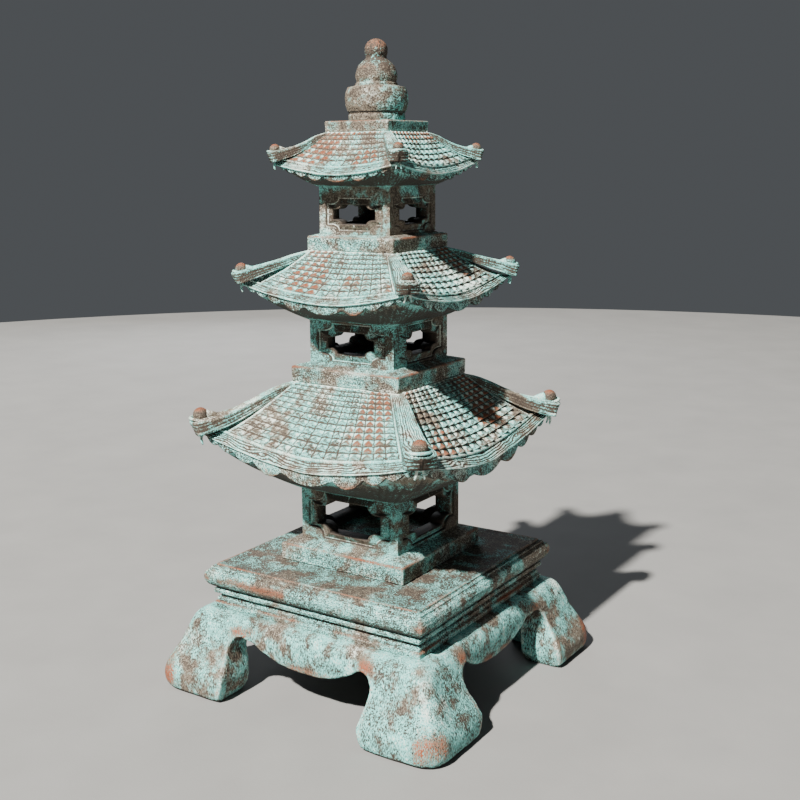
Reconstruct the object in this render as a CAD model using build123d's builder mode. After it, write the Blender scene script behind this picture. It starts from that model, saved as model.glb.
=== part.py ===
from build123d import *
import math
import os
from dataclasses import dataclass

# Three-tier pagoda lantern in cast stone: a stack of separate castings, in millimetres.
# Origin: centre of the footprint on the ground. +Z is up, and the four sides face X and Y.
# A "half" is the distance from the axis to a side, and a "z" is a height above the ground.

os.makedirs("parts", exist_ok=True)

# ---------------------------------------------------------------- leg base
# (z, half, corner radius) up the outside of a leg and over the edge of the deck
LEG_SECTIONS = (
    (0, 484, 64),
    (12, 501, 66),
    (45, 506, 66),
    (75, 500, 62),
    (110, 480, 52),
    (150, 457, 42),
    (195, 439, 36),
    (228, 422, 34),
    (242, 406, 32),
    (248, 388, 28),
)
APRON_SECTIONS = ((105, 420, 44), (195, 419, 44), (228, 409, 40), (242, 396, 36), (248, 380, 32))
LEG_INNER_HALF = 190
DECK_Z = 248
DECK_THICK = 46
# The hollow is cast over a core with straight, slightly tapered sides
HOLLOW_FOOT_HALF = 372
HOLLOW_TOP_HALF = 352
HOLLOW_CORNER_R = 56
# Half outline of an arch, from the middle of the drooping apron to the ground beside a foot
ARCH_POINTS = (
    (0, 124),
    (70, 130),
    (140, 152),
    (192, 183),
    (226, 197),
    (253, 172),
    (256, 130),
    (246, 70),
    (268, -6),
)
ARCH_END_LEAN = (0.5, -1)
ARCH_REACH = 540
BOSS_HALF = 292
BOSS_HEIGHT = 18

# ---------------------------------------------------------------- plinth
PLINTH_TOP_Z = 383
# (half, z) up the moulded edge: fillets, a groove, a bead, a groove, a torus and the raised top panel
PLINTH_PROFILE = (
    (374, DECK_Z),
    (374, 262),
    (367, 266),
    (367, 275),
    (358, 281),
    (358, 289),
    (374, 292),
    (375, 304),
    (366, 308),
    (376, 313),
    (386, 321),
    (393, 334),
    (395, 350),
    (390, 364),
    (378, 370),
    (378, 376),
    (366.5, 377),
    (366.5, PLINTH_TOP_Z),
)
PLINTH_CAVITY_HALF = BOSS_HALF + 5
PLINTH_CAVITY_DEPTH = 68


# ---------------------------------------------------------------- lantern boxes
@dataclass(frozen=True)
class LanternBox:
    """One windowed box on its step. Panels and openings are (width, height), and notches are radii."""

    name: str
    bed_z: float
    step_half: float
    step_edge_z: float
    wall_foot_z: float
    wall_half: float
    head_z: float
    wall: float
    recess: float
    window_z: float
    panel: tuple
    panel_notch: tuple
    opening: tuple
    opening_notch: tuple


# The frame starts at this share of the way from the panel's outline to the window
FRAME_SHARE = 0.4
LANTERN_BOXES = (
    LanternBox(
        name="lower",
        bed_z=PLINTH_TOP_Z,
        step_half=224,
        step_edge_z=435,
        wall_foot_z=451,
        wall_half=176,
        head_z=607,
        wall=42,
        recess=9,
        window_z=532,
        panel=(294, 146),
        panel_notch=(52, 31),
        opening=(232, 104),
        opening_notch=(46, 24),
    ),
    LanternBox(
        name="middle",
        bed_z=939.5,
        step_half=192,
        step_edge_z=987,
        wall_foot_z=1000,
        wall_half=149.5,
        head_z=1125,
        wall=36,
        recess=8,
        window_z=1062.5,
        panel=(240, 113),
        panel_notch=(50, 22),
        opening=(164, 66),
        opening_notch=(32, 18),
    ),
    LanternBox(
        name="upper",
        bed_z=1331,
        step_half=151.5,
        step_edge_z=1372,
        wall_foot_z=1380,
        wall_half=123.5,
        head_z=1515,
        wall=30,
        recess=6,
        window_z=1435.5,
        panel=(196, 95),
        panel_notch=(40, 17),
        opening=(148, 55),
        opening_notch=(31, 13),
    ),
)
CHAMBER_FLOOR_RISE = 2


# ---------------------------------------------------------------- roofs
@dataclass(frozen=True)
class Roof:
    """One hipped roof. Eave heights are at the middle of a side, and lift is the rise to a corner."""

    name: str
    top_half: float
    top_z: float
    tile_half: float
    tile_z: float
    fascia_half: float
    fascia_z: float
    lift: float
    lift_power: float
    valance_drop: float
    soffit_drop: float
    bearing_half: float
    bearing_z: float
    plug_half: float
    plug: float
    # (half, z of the back, width, depth) of a hip ridge, from the stone above it out to the nose
    ridge: tuple
    ball_half: float
    ball_z: float
    ball_r: float


ROOFS = (
    Roof(
        name="lower",
        top_half=190,
        top_z=939.5,
        tile_half=350,
        tile_z=761,
        fascia_half=385,
        fascia_z=729,
        lift=66,
        lift_power=1.6,
        valance_drop=46,
        soffit_drop=22,
        bearing_half=178,
        bearing_z=607,
        plug_half=130,
        plug=14,
        ridge=(
            (184, 938, 40, 24),
            (217, 926, 44, 26),
            (249, 907, 50, 30),
            (287, 880, 58, 33),
            (324, 858, 68, 36),
            (358, 846, 80, 40),
            (388, 838, 88, 42),
            (409, 833, 60, 38),
        ),
        ball_half=385,
        ball_z=851,
        ball_r=23,
    ),
    Roof(
        name="middle",
        top_half=150,
        top_z=1331,
        tile_half=266,
        tile_z=1212,
        fascia_half=290,
        fascia_z=1193,
        lift=45,
        lift_power=1.77,
        valance_drop=33,
        soffit_drop=15,
        bearing_half=151,
        bearing_z=1125,
        plug_half=110,
        plug=11,
        ridge=(
            (144, 1330, 30, 18),
            (180, 1318, 36, 21),
            (209, 1305, 42, 24),
            (242, 1292, 50, 28),
            (271, 1282, 60, 32),
            (293, 1274, 66, 34),
            (310, 1269, 46, 29),
        ),
        ball_half=289,
        ball_z=1281,
        ball_r=17.5,
    ),
    Roof(
        name="upper",
        top_half=108,
        top_z=1668,
        tile_half=199,
        tile_z=1571,
        fascia_half=215,
        fascia_z=1551,
        lift=30,
        lift_power=1.83,
        valance_drop=23,
        soffit_drop=12,
        bearing_half=125,
        bearing_z=1515,
        plug_half=91,
        plug=9,
        ridge=(
            (104, 1668, 24, 16),
            (129, 1657, 29, 18),
            (148, 1643, 34, 20),
            (173, 1628, 42, 24),
            (199, 1619, 50, 27),
            (214, 1616, 54, 30),
            (228, 1612, 40, 28),
        ),
        ball_half=212,
        ball_z=1621,
        ball_r=15.5,
    ),
)
# How far the slope hangs below a straight line, and how soon the eave's lift is felt up the slope
SLOPE_SAG = 5
LIFT_REACH = 0.55
SOFFIT_BULGE = 0.72
LOFT_STATIONS = (-1, -0.8, -0.55, -0.28, 0, 0.28, 0.55, 0.8, 1)
RIDGE_EDGE_R = 0.24
VALANCE_SETBACK = 8
VALANCE_THICK = 17
VALANCE_ROOT = 4
VALANCE_END_GAP = 6
# Widths of the nine lobes of a valance, as shares of its length
LOBE_SHARES = (0.06, 0.076, 0.101, 0.141, 0.244, 0.141, 0.101, 0.076, 0.06)
BALL_SEAT_DROP = 0.62
BALL_SEAT_MARGIN = 1.5

# ---------------------------------------------------------------- cap slab, finial and pins
SLAB_HALF = 110
SLAB_Z = ROOFS[2].top_z
FINIAL_Z = 1700
FINIAL_BALL_Z = 1897.5
FINIAL_BALL_R = 33.5
NECK_R = 30
PIN_R = 8
PIN_TIP = 1.5
PIN_CLEARANCE = 1.0
GROUT_CLEARANCE = 0.05


@dataclass(frozen=True)
class PinPair:
    """Two upright locating pins, half of each grouted into the stone below the bed."""

    name: str
    bed_z: float
    spacing: float
    down: float
    up: float


PIN_PAIRS = (
    PinPair("lower", LANTERN_BOXES[0].bed_z, 180, 40, 40),
    PinPair("middle", LANTERN_BOXES[1].bed_z, 150, 45, 38),
    PinPair("upper", LANTERN_BOXES[2].bed_z, 120, 45, 32),
)
ROD_FOOT_Z = 1598
ROD_HEAD_Z = 1760
HOLE_SPARE = 2


def save(part, name):
    """Labels a finished piece and writes its STEP file."""
    part.label = name
    export_step(part, f"parts/{name}.step")


def pin_cylinders(pins, foot_z, height, radius):
    """A pair of upright cylinders on the pins' centres."""
    with BuildPart() as pair:
        with BuildSketch(Plane.XY.offset(foot_z)):
            with GridLocations(pins.spacing, 0, 2, 1):
                Circle(radius)
        extrude(amount=height)
    return pair.part


def square_moulding(profile):
    """A block with mitred corners whose four sides all follow profile."""
    outline = list(profile) + [(-half, z) for half, z in reversed(profile)]
    span = max(half for half, _ in profile)
    with BuildPart() as block:
        with BuildSketch(Plane.XZ):
            with BuildLine():
                Polyline(*outline, close=True)
            make_face()
        extrude(amount=span, both=True)
        with BuildSketch(Plane.YZ):
            with BuildLine():
                Polyline(*outline, close=True)
            make_face()
        extrude(amount=span, both=True, mode=Mode.INTERSECT)
    return block.part


def between(first, second, share):
    """A pair of sizes at a share of the way from the first pair to the second."""
    return tuple(a + share * (b - a) for a, b in zip(first, second))


def notched_panel(size, notch):
    """A rectangle whose four corners are bitten away by quarter ellipses."""
    with BuildSketch() as panel:
        Rectangle(*size)
        with GridLocations(size[0], size[1], 2, 2):
            Ellipse(*notch, mode=Mode.SUBTRACT)
    return panel.sketch


# ================================================================ leg base
with BuildPart() as leg:
    for z, half, radius in LEG_SECTIONS:
        side = half - LEG_INNER_HALF
        with BuildSketch(Plane.XY.offset(z)):
            with Locations((half - side / 2, half - side / 2)):
                RectangleRounded(side, side, radius)
    loft()

with BuildPart() as leg_base:
    for z, half, radius in APRON_SECTIONS:
        with BuildSketch(Plane.XY.offset(z)):
            RectangleRounded(2 * half, 2 * half, radius)
    loft()
    with PolarLocations(0, 4):
        add(leg.part)
    # The hollow under the deck leaves four L-shaped legs
    for z, half in ((0, HOLLOW_FOOT_HALF), (DECK_Z - DECK_THICK, HOLLOW_TOP_HALF)):
        with BuildSketch(Plane.XY.offset(z)):
            RectangleRounded(2 * half, 2 * half, HOLLOW_CORNER_R)
    loft(mode=Mode.SUBTRACT)
    # One arch between each pair of feet, under an apron that droops in the middle
    for plane in (Plane.XZ, Plane.YZ):
        with BuildSketch(plane):
            with BuildLine():
                arch_half = Spline(*ARCH_POINTS, tangents=((1, 0), ARCH_END_LEAN))
                mirror(arch_half, about=Plane.YZ)
                Line(arch_half @ 1, (-ARCH_POINTS[-1][0], ARCH_POINTS[-1][1]))
            make_face()
        extrude(amount=ARCH_REACH, both=True, mode=Mode.SUBTRACT)
    # The raised boss that the plinth drops over
    with BuildSketch(Plane.XY.offset(DECK_Z)):
        RectangleRounded(2 * BOSS_HALF, 2 * BOSS_HALF, 12)
    extrude(amount=BOSS_HEIGHT)
save(leg_base.part, "leg_base")

# ================================================================ plinth
with BuildPart() as plinth:
    add(square_moulding(PLINTH_PROFILE))
    with BuildSketch(Plane.XY.offset(DECK_Z)):
        RectangleRounded(2 * PLINTH_CAVITY_HALF, 2 * PLINTH_CAVITY_HALF, 14)
    extrude(amount=PLINTH_CAVITY_DEPTH, mode=Mode.SUBTRACT)
    foot = PIN_PAIRS[0].bed_z - PIN_PAIRS[0].down
    add(
        pin_cylinders(PIN_PAIRS[0], foot, PIN_PAIRS[0].down, PIN_R + GROUT_CLEARANCE),
        mode=Mode.SUBTRACT,
    )
save(plinth.part, "plinth")

# ================================================================ lantern boxes
for box, pins in zip(LANTERN_BOXES, PIN_PAIRS):
    chamber_half = box.wall_half - box.wall
    frame = between(box.panel, box.opening, FRAME_SHARE)
    frame_notch = between(box.panel_notch, box.opening_notch, FRAME_SHARE)
    with BuildPart() as lantern_box:
        # The step, whose top slopes up to the walls
        with BuildSketch(Plane.XY.offset(box.bed_z)):
            Rectangle(2 * box.step_half, 2 * box.step_half)
        extrude(amount=box.step_edge_z - box.bed_z)
        for z, half in ((box.step_edge_z, box.step_half), (box.wall_foot_z, box.wall_half)):
            with BuildSketch(Plane.XY.offset(z)):
                Rectangle(2 * half, 2 * half)
        loft()
        # The four walls round the light chamber, open at the head
        with BuildSketch(Plane.XY.offset(box.wall_foot_z)):
            Rectangle(2 * box.wall_half, 2 * box.wall_half)
        extrude(amount=box.head_z - box.wall_foot_z)
        with BuildSketch(Plane.XY.offset(box.wall_foot_z + CHAMBER_FLOOR_RISE)):
            Rectangle(2 * chamber_half, 2 * chamber_half)
        extrude(amount=box.head_z - box.wall_foot_z, mode=Mode.SUBTRACT)
        # A sunk panel on each side, and in it the raised frame of the window
        for plane in (Plane.XZ, Plane.YZ):
            for face, inward in ((box.wall_half, -1), (-box.wall_half, 1)):
                with BuildSketch(plane.offset(face)):
                    with Locations((0, box.window_z)):
                        add(notched_panel(box.panel, box.panel_notch))
                extrude(amount=inward * box.recess, mode=Mode.SUBTRACT)
                with BuildSketch(plane.offset(face)):
                    with Locations((0, box.window_z)):
                        add(notched_panel(frame, frame_notch))
                extrude(amount=inward * box.recess)
            with BuildSketch(plane):
                with Locations((0, box.window_z)):
                    add(notched_panel(box.opening, box.opening_notch))
            extrude(amount=box.wall_half, both=True, mode=Mode.SUBTRACT)
        add(
            pin_cylinders(pins, box.bed_z, pins.up + HOLE_SPARE, PIN_R + PIN_CLEARANCE),
            mode=Mode.SUBTRACT,
        )
    save(lantern_box.part, f"{box.name}_lantern_box")


# ================================================================ roofs
def lifted(roof, along, out):
    """Rise above the middle of a side, at a distance along the side and out from the axis."""
    share = (out - roof.top_half) / (roof.fascia_half - roof.top_half)
    return roof.lift * (along / roof.fascia_half) ** roof.lift_power * max(0, share) ** LIFT_REACH


def eave_z(roof, along):
    """Height of the fascia's lower edge at a distance along the side."""
    return roof.fascia_z + lifted(roof, along, roof.fascia_half)


def roof_section(roof, station):
    """The roof's cross-section at a station along one side, as a face across X."""
    along = abs(station)
    edge_z = eave_z(roof, along)
    under = roof.fascia_half - VALANCE_SETBACK - VALANCE_THICK
    slope = []
    for share in (0, 0.25, 0.5, 0.75, 1):
        out = roof.top_half + share * (roof.tile_half - roof.top_half)
        straight_z = roof.top_z + share * (roof.tile_z - roof.top_z)
        slope.append((out, straight_z - SLOPE_SAG * math.sin(math.pi * share) + lifted(roof, along, out)))
    soffit = []
    for share in (0, 0.3, 0.65, 1):
        out = under + share * (roof.bearing_half - under)
        soffit_z = edge_z - roof.soffit_drop
        soffit.append((out, soffit_z + (roof.bearing_z - soffit_z) * share**SOFFIT_BULGE))
    with BuildSketch(Plane((station, 0, 0), x_dir=(0, 1, 0), z_dir=(1, 0, 0))) as section:
        with BuildLine():
            Line((0, roof.top_z), slope[0])
            Spline(*slope)
            Line(slope[-1], (roof.fascia_half, edge_z))
            Line((roof.fascia_half, edge_z), (under, edge_z - 1))
            Line((under, edge_z - 1), soffit[0])
            Spline(*soffit)
            Line(soffit[-1], (0, roof.bearing_z))
            mirror(about=Plane.YZ)
        make_face()
    return section.sketch


def valance_front(roof):
    """Front view of a valance: its head follows the eave, and its foot is nine round lobes."""
    reach = roof.fascia_half - VALANCE_SETBACK - VALANCE_END_GAP
    head = [(share * reach, eave_z(roof, abs(share) * reach) + 3) for share in LOFT_STATIONS]
    cusps = []
    x = reach
    for share in (0,) + LOBE_SHARES:
        x -= share * 2 * reach
        depth = roof.valance_drop * (0.22 + 0.26 * (1 - (x / reach) ** 2))
        cusps.append((x, eave_z(roof, abs(x)) - depth))
    back = roof.fascia_half - VALANCE_SETBACK - VALANCE_THICK - VALANCE_ROOT
    with BuildSketch(Plane.XZ.offset(back)) as front:
        with BuildLine():
            Spline(*head)
            Line(head[-1], cusps[0])
            for (x0, z0), (x1, z1) in zip(cusps, cusps[1:]):
                sag = min(0.26 * (x0 - x1), 0.62 * roof.valance_drop)
                ThreePointArc((x0, z0), ((x0 + x1) / 2, (z0 + z1) / 2 - sag), (x1, z1))
            Line(cusps[-1], head[0])
        make_face()
    return front.sketch


for roof, pins in zip(ROOFS, PIN_PAIRS[1:] + (None,)):
    with BuildPart() as slopes:
        for share in LOFT_STATIONS:
            add(roof_section(roof, share * (roof.fascia_half + 1)))
        loft()

    with BuildPart() as hip_ridge:
        for half, z, width, depth in roof.ridge:
            with BuildSketch(Plane((half, half, z - depth / 2), x_dir=(-1, 1, 0), z_dir=(1, 1, 0))):
                RectangleRounded(width, depth, RIDGE_EDGE_R * depth)
        loft(ruled=True)

    with BuildPart() as valance:
        add(valance_front(roof))
        extrude(amount=VALANCE_THICK + VALANCE_ROOT, dir=(0, -1, 0))

    seat_z = roof.ball_z - BALL_SEAT_DROP * roof.ball_r
    with BuildPart() as roof_stone:
        # Two crossed pairs of slopes leave a hipped roof
        add(slopes.part)
        add(slopes.part.rotate(Axis.Z, 90), mode=Mode.INTERSECT)
        with PolarLocations(0, 4):
            add(valance.part)
            add(hip_ridge.part)
        # The plug that locates the roof in the mouth of the light chamber
        with BuildSketch(Plane.XY.offset(roof.bearing_z)):
            RectangleRounded(2 * roof.plug_half, 2 * roof.plug_half, 6)
        extrude(amount=-roof.plug)
        # Flat seats for the corner balls
        with BuildSketch(Plane.XY.offset(seat_z)):
            with GridLocations(2 * roof.ball_half, 2 * roof.ball_half, 2, 2):
                Circle(roof.ball_r + BALL_SEAT_MARGIN)
        extrude(amount=2 * roof.ball_r, mode=Mode.SUBTRACT)
        if pins:
            add(
                pin_cylinders(pins, roof.top_z - pins.down, pins.down, PIN_R + GROUT_CLEARANCE),
                mode=Mode.SUBTRACT,
            )
        else:
            with BuildSketch(Plane.XY.offset(roof.top_z)):
                Circle(PIN_R + GROUT_CLEARANCE)
            extrude(amount=ROD_FOOT_Z - roof.top_z, mode=Mode.SUBTRACT)
    save(roof_stone.part, f"{roof.name}_roof")

    # The balls, each cut flat where it is bedded
    with BuildPart() as corner_balls:
        with Locations((0, 0, roof.ball_z)):
            with GridLocations(2 * roof.ball_half, 2 * roof.ball_half, 2, 2):
                Sphere(roof.ball_r)
        with BuildSketch(Plane.XY.offset(seat_z)):
            Rectangle(4 * roof.ball_half, 4 * roof.ball_half)
        extrude(amount=-2 * roof.ball_r, mode=Mode.SUBTRACT)
    save(corner_balls.part, f"{roof.name}_corner_balls")

# ================================================================ cap slab
with BuildPart() as cap_slab:
    with BuildSketch(Plane.XY.offset(SLAB_Z)):
        Rectangle(2 * SLAB_HALF, 2 * SLAB_HALF)
        Circle(PIN_R + PIN_CLEARANCE, mode=Mode.SUBTRACT)
    extrude(amount=FINIAL_Z - SLAB_Z)
    chamfer(cap_slab.faces().sort_by(Axis.Z)[-1].outer_wire().edges(), 2)
save(cap_slab.part, "cap_slab")

# ================================================================ finial
ball_foot_z = FINIAL_BALL_Z - math.sqrt(FINIAL_BALL_R**2 - NECK_R**2)
ball_top_z = FINIAL_BALL_Z + FINIAL_BALL_R
with BuildPart() as finial:
    with BuildSketch(Plane.XZ):
        with BuildLine():
            # Foot ring, drum, lip, dome, neck and ball
            Polyline((0, FINIAL_Z), (82, FINIAL_Z), (83, 1716), (80, 1721), (85, 1727))
            ThreePointArc((85, 1727), (92, 1762), (84, 1795))
            Polyline((84, 1795), (68, 1798), (61, 1801), (61, 1807), (57, 1809), (58, 1813))
            Spline((58, 1813), (60, 1829), (51, 1857), (NECK_R, 1876))
            Line((NECK_R, 1876), (NECK_R, ball_foot_z))
            ThreePointArc((NECK_R, ball_foot_z), (FINIAL_BALL_R, FINIAL_BALL_Z), (0, ball_top_z))
            Line((0, ball_top_z), (0, FINIAL_Z))
        make_face()
    revolve(axis=Axis.Z)
    with BuildSketch(Plane.XY.offset(FINIAL_Z)):
        Circle(PIN_R + PIN_CLEARANCE)
    extrude(amount=ROD_HEAD_Z - FINIAL_Z + HOLE_SPARE, mode=Mode.SUBTRACT)
save(finial.part, "finial")

# ================================================================ pins and rod
for pins in PIN_PAIRS:
    with BuildPart() as locating_pins:
        add(pin_cylinders(pins, pins.bed_z - pins.down, pins.down + pins.up, PIN_R))
        chamfer(locating_pins.edges().group_by(Axis.Z)[-1], PIN_TIP)
    save(locating_pins.part, f"{pins.name}_locating_pins")

with BuildPart() as finial_rod:
    with BuildSketch(Plane.XY.offset(ROD_FOOT_Z)):
        Circle(PIN_R)
    extrude(amount=ROD_HEAD_Z - ROD_FOOT_Z)
    chamfer(finial_rod.edges().group_by(Axis.Z)[-1], PIN_TIP)
save(finial_rod.part, "finial_rod")
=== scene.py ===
"""Looks for a three-tier pagoda lantern: separate cast stones under a worn verdigris patina.

Lengths are in millimetres until a mesh is made, and the four sides face X and Y, as in the CAD frame.
"""

import itertools
import math
from dataclasses import dataclass

import bpy
import numpy as np
from mathutils import Matrix, Vector


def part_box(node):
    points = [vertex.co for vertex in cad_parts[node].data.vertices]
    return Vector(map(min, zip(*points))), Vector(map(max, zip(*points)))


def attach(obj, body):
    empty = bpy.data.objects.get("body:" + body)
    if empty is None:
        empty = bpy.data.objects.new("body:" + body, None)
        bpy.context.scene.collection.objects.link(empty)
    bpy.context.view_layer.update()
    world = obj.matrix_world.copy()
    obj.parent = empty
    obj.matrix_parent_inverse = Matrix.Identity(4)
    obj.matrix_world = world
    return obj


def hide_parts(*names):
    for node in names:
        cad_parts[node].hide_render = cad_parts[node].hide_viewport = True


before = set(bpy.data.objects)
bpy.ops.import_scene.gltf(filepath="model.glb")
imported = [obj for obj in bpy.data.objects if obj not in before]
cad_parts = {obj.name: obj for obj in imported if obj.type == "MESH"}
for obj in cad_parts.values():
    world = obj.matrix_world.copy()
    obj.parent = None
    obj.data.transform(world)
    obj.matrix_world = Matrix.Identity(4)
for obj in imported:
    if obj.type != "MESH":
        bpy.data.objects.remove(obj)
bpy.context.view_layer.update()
MM = 0.001


def low(node):
    """Lowest corner of a CAD node, in millimetres."""
    return np.array(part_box(node)[0]) / MM


def high(node):
    """Highest corner of a CAD node, in millimetres."""
    return np.array(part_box(node)[1]) / MM


# ---- number helpers
def fade(value, start, end):
    """0 before start, 1 after end, and a smooth step between them."""
    share = np.clip((np.asarray(value, float) - start) / (end - start), 0, 1)
    return share * share * (3 - 2 * share)


def value_noise(points, seed=0.0):
    """Smooth noise between -1 and 1, with features about one unit across."""
    cell = np.floor(points)
    part = points - cell
    part = part * part * (3 - 2 * part)
    total = 0
    for corner in itertools.product((0, 1), repeat=3):
        key = np.sin((cell + corner) @ np.array((127.1, 311.7, 74.7)) + seed) * 43758.5453
        weight = np.prod(np.where(corner, part, 1 - part), axis=-1)
        total = total + weight * (2 * (key - np.floor(key)) - 1)
    return total


def layered_noise(points, seed=0.0, layers=3):
    """Value noise with finer layers at half strength each."""
    return sum(value_noise(points * 2**n, seed + 7 * n) / 2**n for n in range(layers))


def through(points, shares):
    """A smooth line through a few points, at shares of the way along it."""
    points = np.asarray(points, float)
    padded = np.vstack([2 * points[0] - points[1], points, 2 * points[-1] - points[-2]])
    steps = np.asarray(shares, float) * (len(points) - 1)
    index = np.minimum(steps.astype(int), len(points) - 2)
    t = (steps - index)[:, None]
    before, start, end, after = (padded[index + n] for n in range(4))
    return 0.5 * (
        2 * start
        + (end - before) * t
        + (2 * before - 5 * start + 4 * end - after) * t**2
        + (3 * start - before - 3 * end + after) * t**3
    )


def close(value, middle, reach):
    """1 at the middle, and a smooth fall towards 0 over the reach on both sides."""
    return np.exp(-(((value - middle) / reach) ** 2))


def near_and_out(points):
    """For each point the smaller and the larger of its distances from the axis along X and Y."""
    return np.sort(np.abs(points[:, :2]), axis=1).T


def turned(points, quarter):
    """Points turned about Z by a number of quarter turns."""
    x, y, z = np.moveaxis(points, -1, 0)
    for _ in range(quarter % 4):
        x, y = -y, x
    return np.stack([x, y, z], -1)


# ---- mesh helpers
CORNER_STEPS = 5
RELIEF_PASSES = 10


def ring_quads(rows, columns):
    """The faces between closed rings of points, as the numbers of their corners."""
    index = np.arange(rows * columns).reshape(rows, columns)
    ring = np.hstack([index, index[:, :1]])
    return np.stack([ring[:-1, :-1], ring[:-1, 1:], ring[1:, 1:], ring[1:, :-1]], -1).reshape(-1, 4)


def ring_shell(grid):
    """A closed shell whose rows are closed rings, with a flat cap on the first and the last."""
    rows, columns, _ = grid.shape
    quads = ring_quads(rows, columns)
    points = grid.reshape(-1, 3)
    first_cap = list(range(columns))[::-1]
    last_cap = list(range((rows - 1) * columns, rows * columns))
    faces = [*quads.tolist(), first_cap, last_cap]
    # Faces look outwards when the volume they bound is positive
    a, b, c, d = (points[quads[:, n]] - points.mean(axis=0) for n in range(4))
    if np.sum(np.cross(c - a, d - b) * (a + b + c + d)) < 0:
        faces = [face[::-1] for face in faces]
    return points, faces


def square_ring(half, z, corner, side_steps):
    """Points round a level square with rounded corners."""
    angles = np.linspace(0, math.pi / 2, CORNER_STEPS + 1)[:-1]
    centre = half - corner
    side = np.linspace(-centre, centre, side_steps, endpoint=False)
    run = np.stack([side, np.full_like(side, -half)], -1)
    bend = np.stack([centre + corner * np.sin(angles), -centre - corner * np.cos(angles)], -1)
    line = np.vstack([run, bend])
    line = np.column_stack([line, np.full(len(line), z)])
    return np.vstack([turned(line, quarter) for quarter in range(4)])


def square_shell(profile, corner, side_steps):
    """A moulding that follows a (half, z) profile round a square."""
    rings = [square_ring(half, z, min(corner, 0.9 * half), side_steps) for half, z in profile]
    return ring_shell(np.array(rings))


def turned_shell(profile, steps, centre=(0, 0)):
    """A turned solid with a (radius, z) profile about an upright axis."""
    angles = circle_angles(steps)
    circle = np.stack([np.cos(angles), np.sin(angles)], -1)
    rings = [np.column_stack([r * circle, np.full(steps, z)]) for r, z in profile]
    return ring_shell(np.array(rings) + np.array((*centre, 0)))


def softened(profile, radius, steps=4):
    """A (half, z) profile with each corner between its ends rounded, and long runs divided."""
    points = np.asarray(profile, float)
    result = [points[0]]
    for before, corner, after in zip(points, points[1:], points[2:]):
        back, ahead = before - corner, after - corner
        reach = min(radius, 0.45 * np.linalg.norm(back), 0.45 * np.linalg.norm(ahead))
        start = corner + back / np.linalg.norm(back) * reach
        end = corner + ahead / np.linalg.norm(ahead) * reach
        for t in np.linspace(0, 1, steps + 1):
            result.append((1 - t) ** 2 * start + 2 * t * (1 - t) * corner + t**2 * end)
    result.append(points[-1])
    return divided(result, 7)


def divided(points, longest):
    """The same line with extra points, so that no run is longer than longest."""
    result = [points[0]]
    for start, end in zip(points, points[1:]):
        count = max(1, math.ceil(np.linalg.norm(end - start) / longest))
        result += [start + (end - start) * n / count for n in range(1, count + 1)]
    return result


def circle_angles(steps):
    """Angles of evenly spaced points round a circle."""
    return np.linspace(0, 2 * math.pi, steps, endpoint=False)


def store(mesh, name, values):
    """Keeps one number per vertex for the materials to read."""
    attribute = mesh.attributes.new(name, "FLOAT", "POINT")
    attribute.data.foreach_set("value", np.asarray(values, np.float32))


def vectors(items, name):
    """One vector from each item of a mesh, as an array."""
    values = np.empty(3 * len(items))
    items.foreach_get(name, values)
    return values.reshape(-1, 3)


def record_relief(mesh, deep, wear, tone, flecked):
    """Stores how far each vertex stands proud of the smoothed surface, its painted shade for facing
    downwards, and its copper.

    deep is the height in millimetres that counts as 1, wear gives the copper at each point, tone
    is added to the relief, to lighten or darken a place, and flecked is how strong the flecks are.
    """
    points = vectors(mesh.vertices, "co") / MM
    edges = np.empty(2 * len(mesh.edges), int)
    mesh.edges.foreach_get("vertices", edges)
    edges = edges.reshape(-1, 2)
    ends = np.concatenate([edges, edges[:, ::-1]])
    count = np.maximum(np.bincount(ends[:, 0], minlength=len(points)), 1)
    smooth = points
    for _ in range(RELIEF_PASSES):
        sums = [np.bincount(ends[:, 0], smooth[ends[:, 1], axis], len(points)) for axis in range(3)]
        smooth = 0.5 * smooth + 0.5 * np.stack(sums, -1) / count[:, None]
    normals = vectors(mesh.vertex_normals, "vector")
    proud = np.clip(np.sum((points - smooth) * normals, axis=1) / deep, -1, 1) + tone
    store(mesh, "relief", np.clip(proud, -1.5, 1.5))
    # Painted shade: how far each vertex faces downwards, for the materials to darken as if in shade
    store(mesh, "underside_shade", fade(-normals[:, 2], 0.35, 0.75))
    store(mesh, "wear", np.clip(wear(points), 0, 1))
    store(mesh, "flecked", np.full(len(points), flecked))


def unworn(points):
    """No extra copper."""
    return np.zeros(len(points))


def finish_piece(mesh, name, slot, body, nodes, deep=2.0, wear=unworn, tone=0.0, flecked=1.0):
    """Turns a finished mesh into a piece that rides on a body in place of CAD nodes."""
    mesh.polygons.foreach_set("use_smooth", np.ones(len(mesh.polygons), bool))
    mesh.update()
    record_relief(mesh, deep, wear, tone, flecked)
    piece = bpy.data.objects.new(name, mesh)
    bpy.context.collection.objects.link(piece)
    mesh.materials.append(MATERIALS[slot])
    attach(piece, body)
    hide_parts(*nodes)


def make_piece(name, shells, slot, body, nodes, deep=2.0, wear=unworn, tone=0.0, flecked=1.0):
    """One piece from closed shells of (points, faces)."""
    points, faces, start = [], [], 0
    for shell_points, shell_faces in shells:
        points.append(shell_points)
        faces += [[start + corner for corner in face] for face in shell_faces]
        start += len(shell_points)
    mesh = bpy.data.meshes.new(name)
    mesh.from_pydata(np.concatenate(points) * MM, [], faces)
    finish_piece(mesh, name, slot, body, nodes, deep, wear, tone, flecked)


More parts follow.
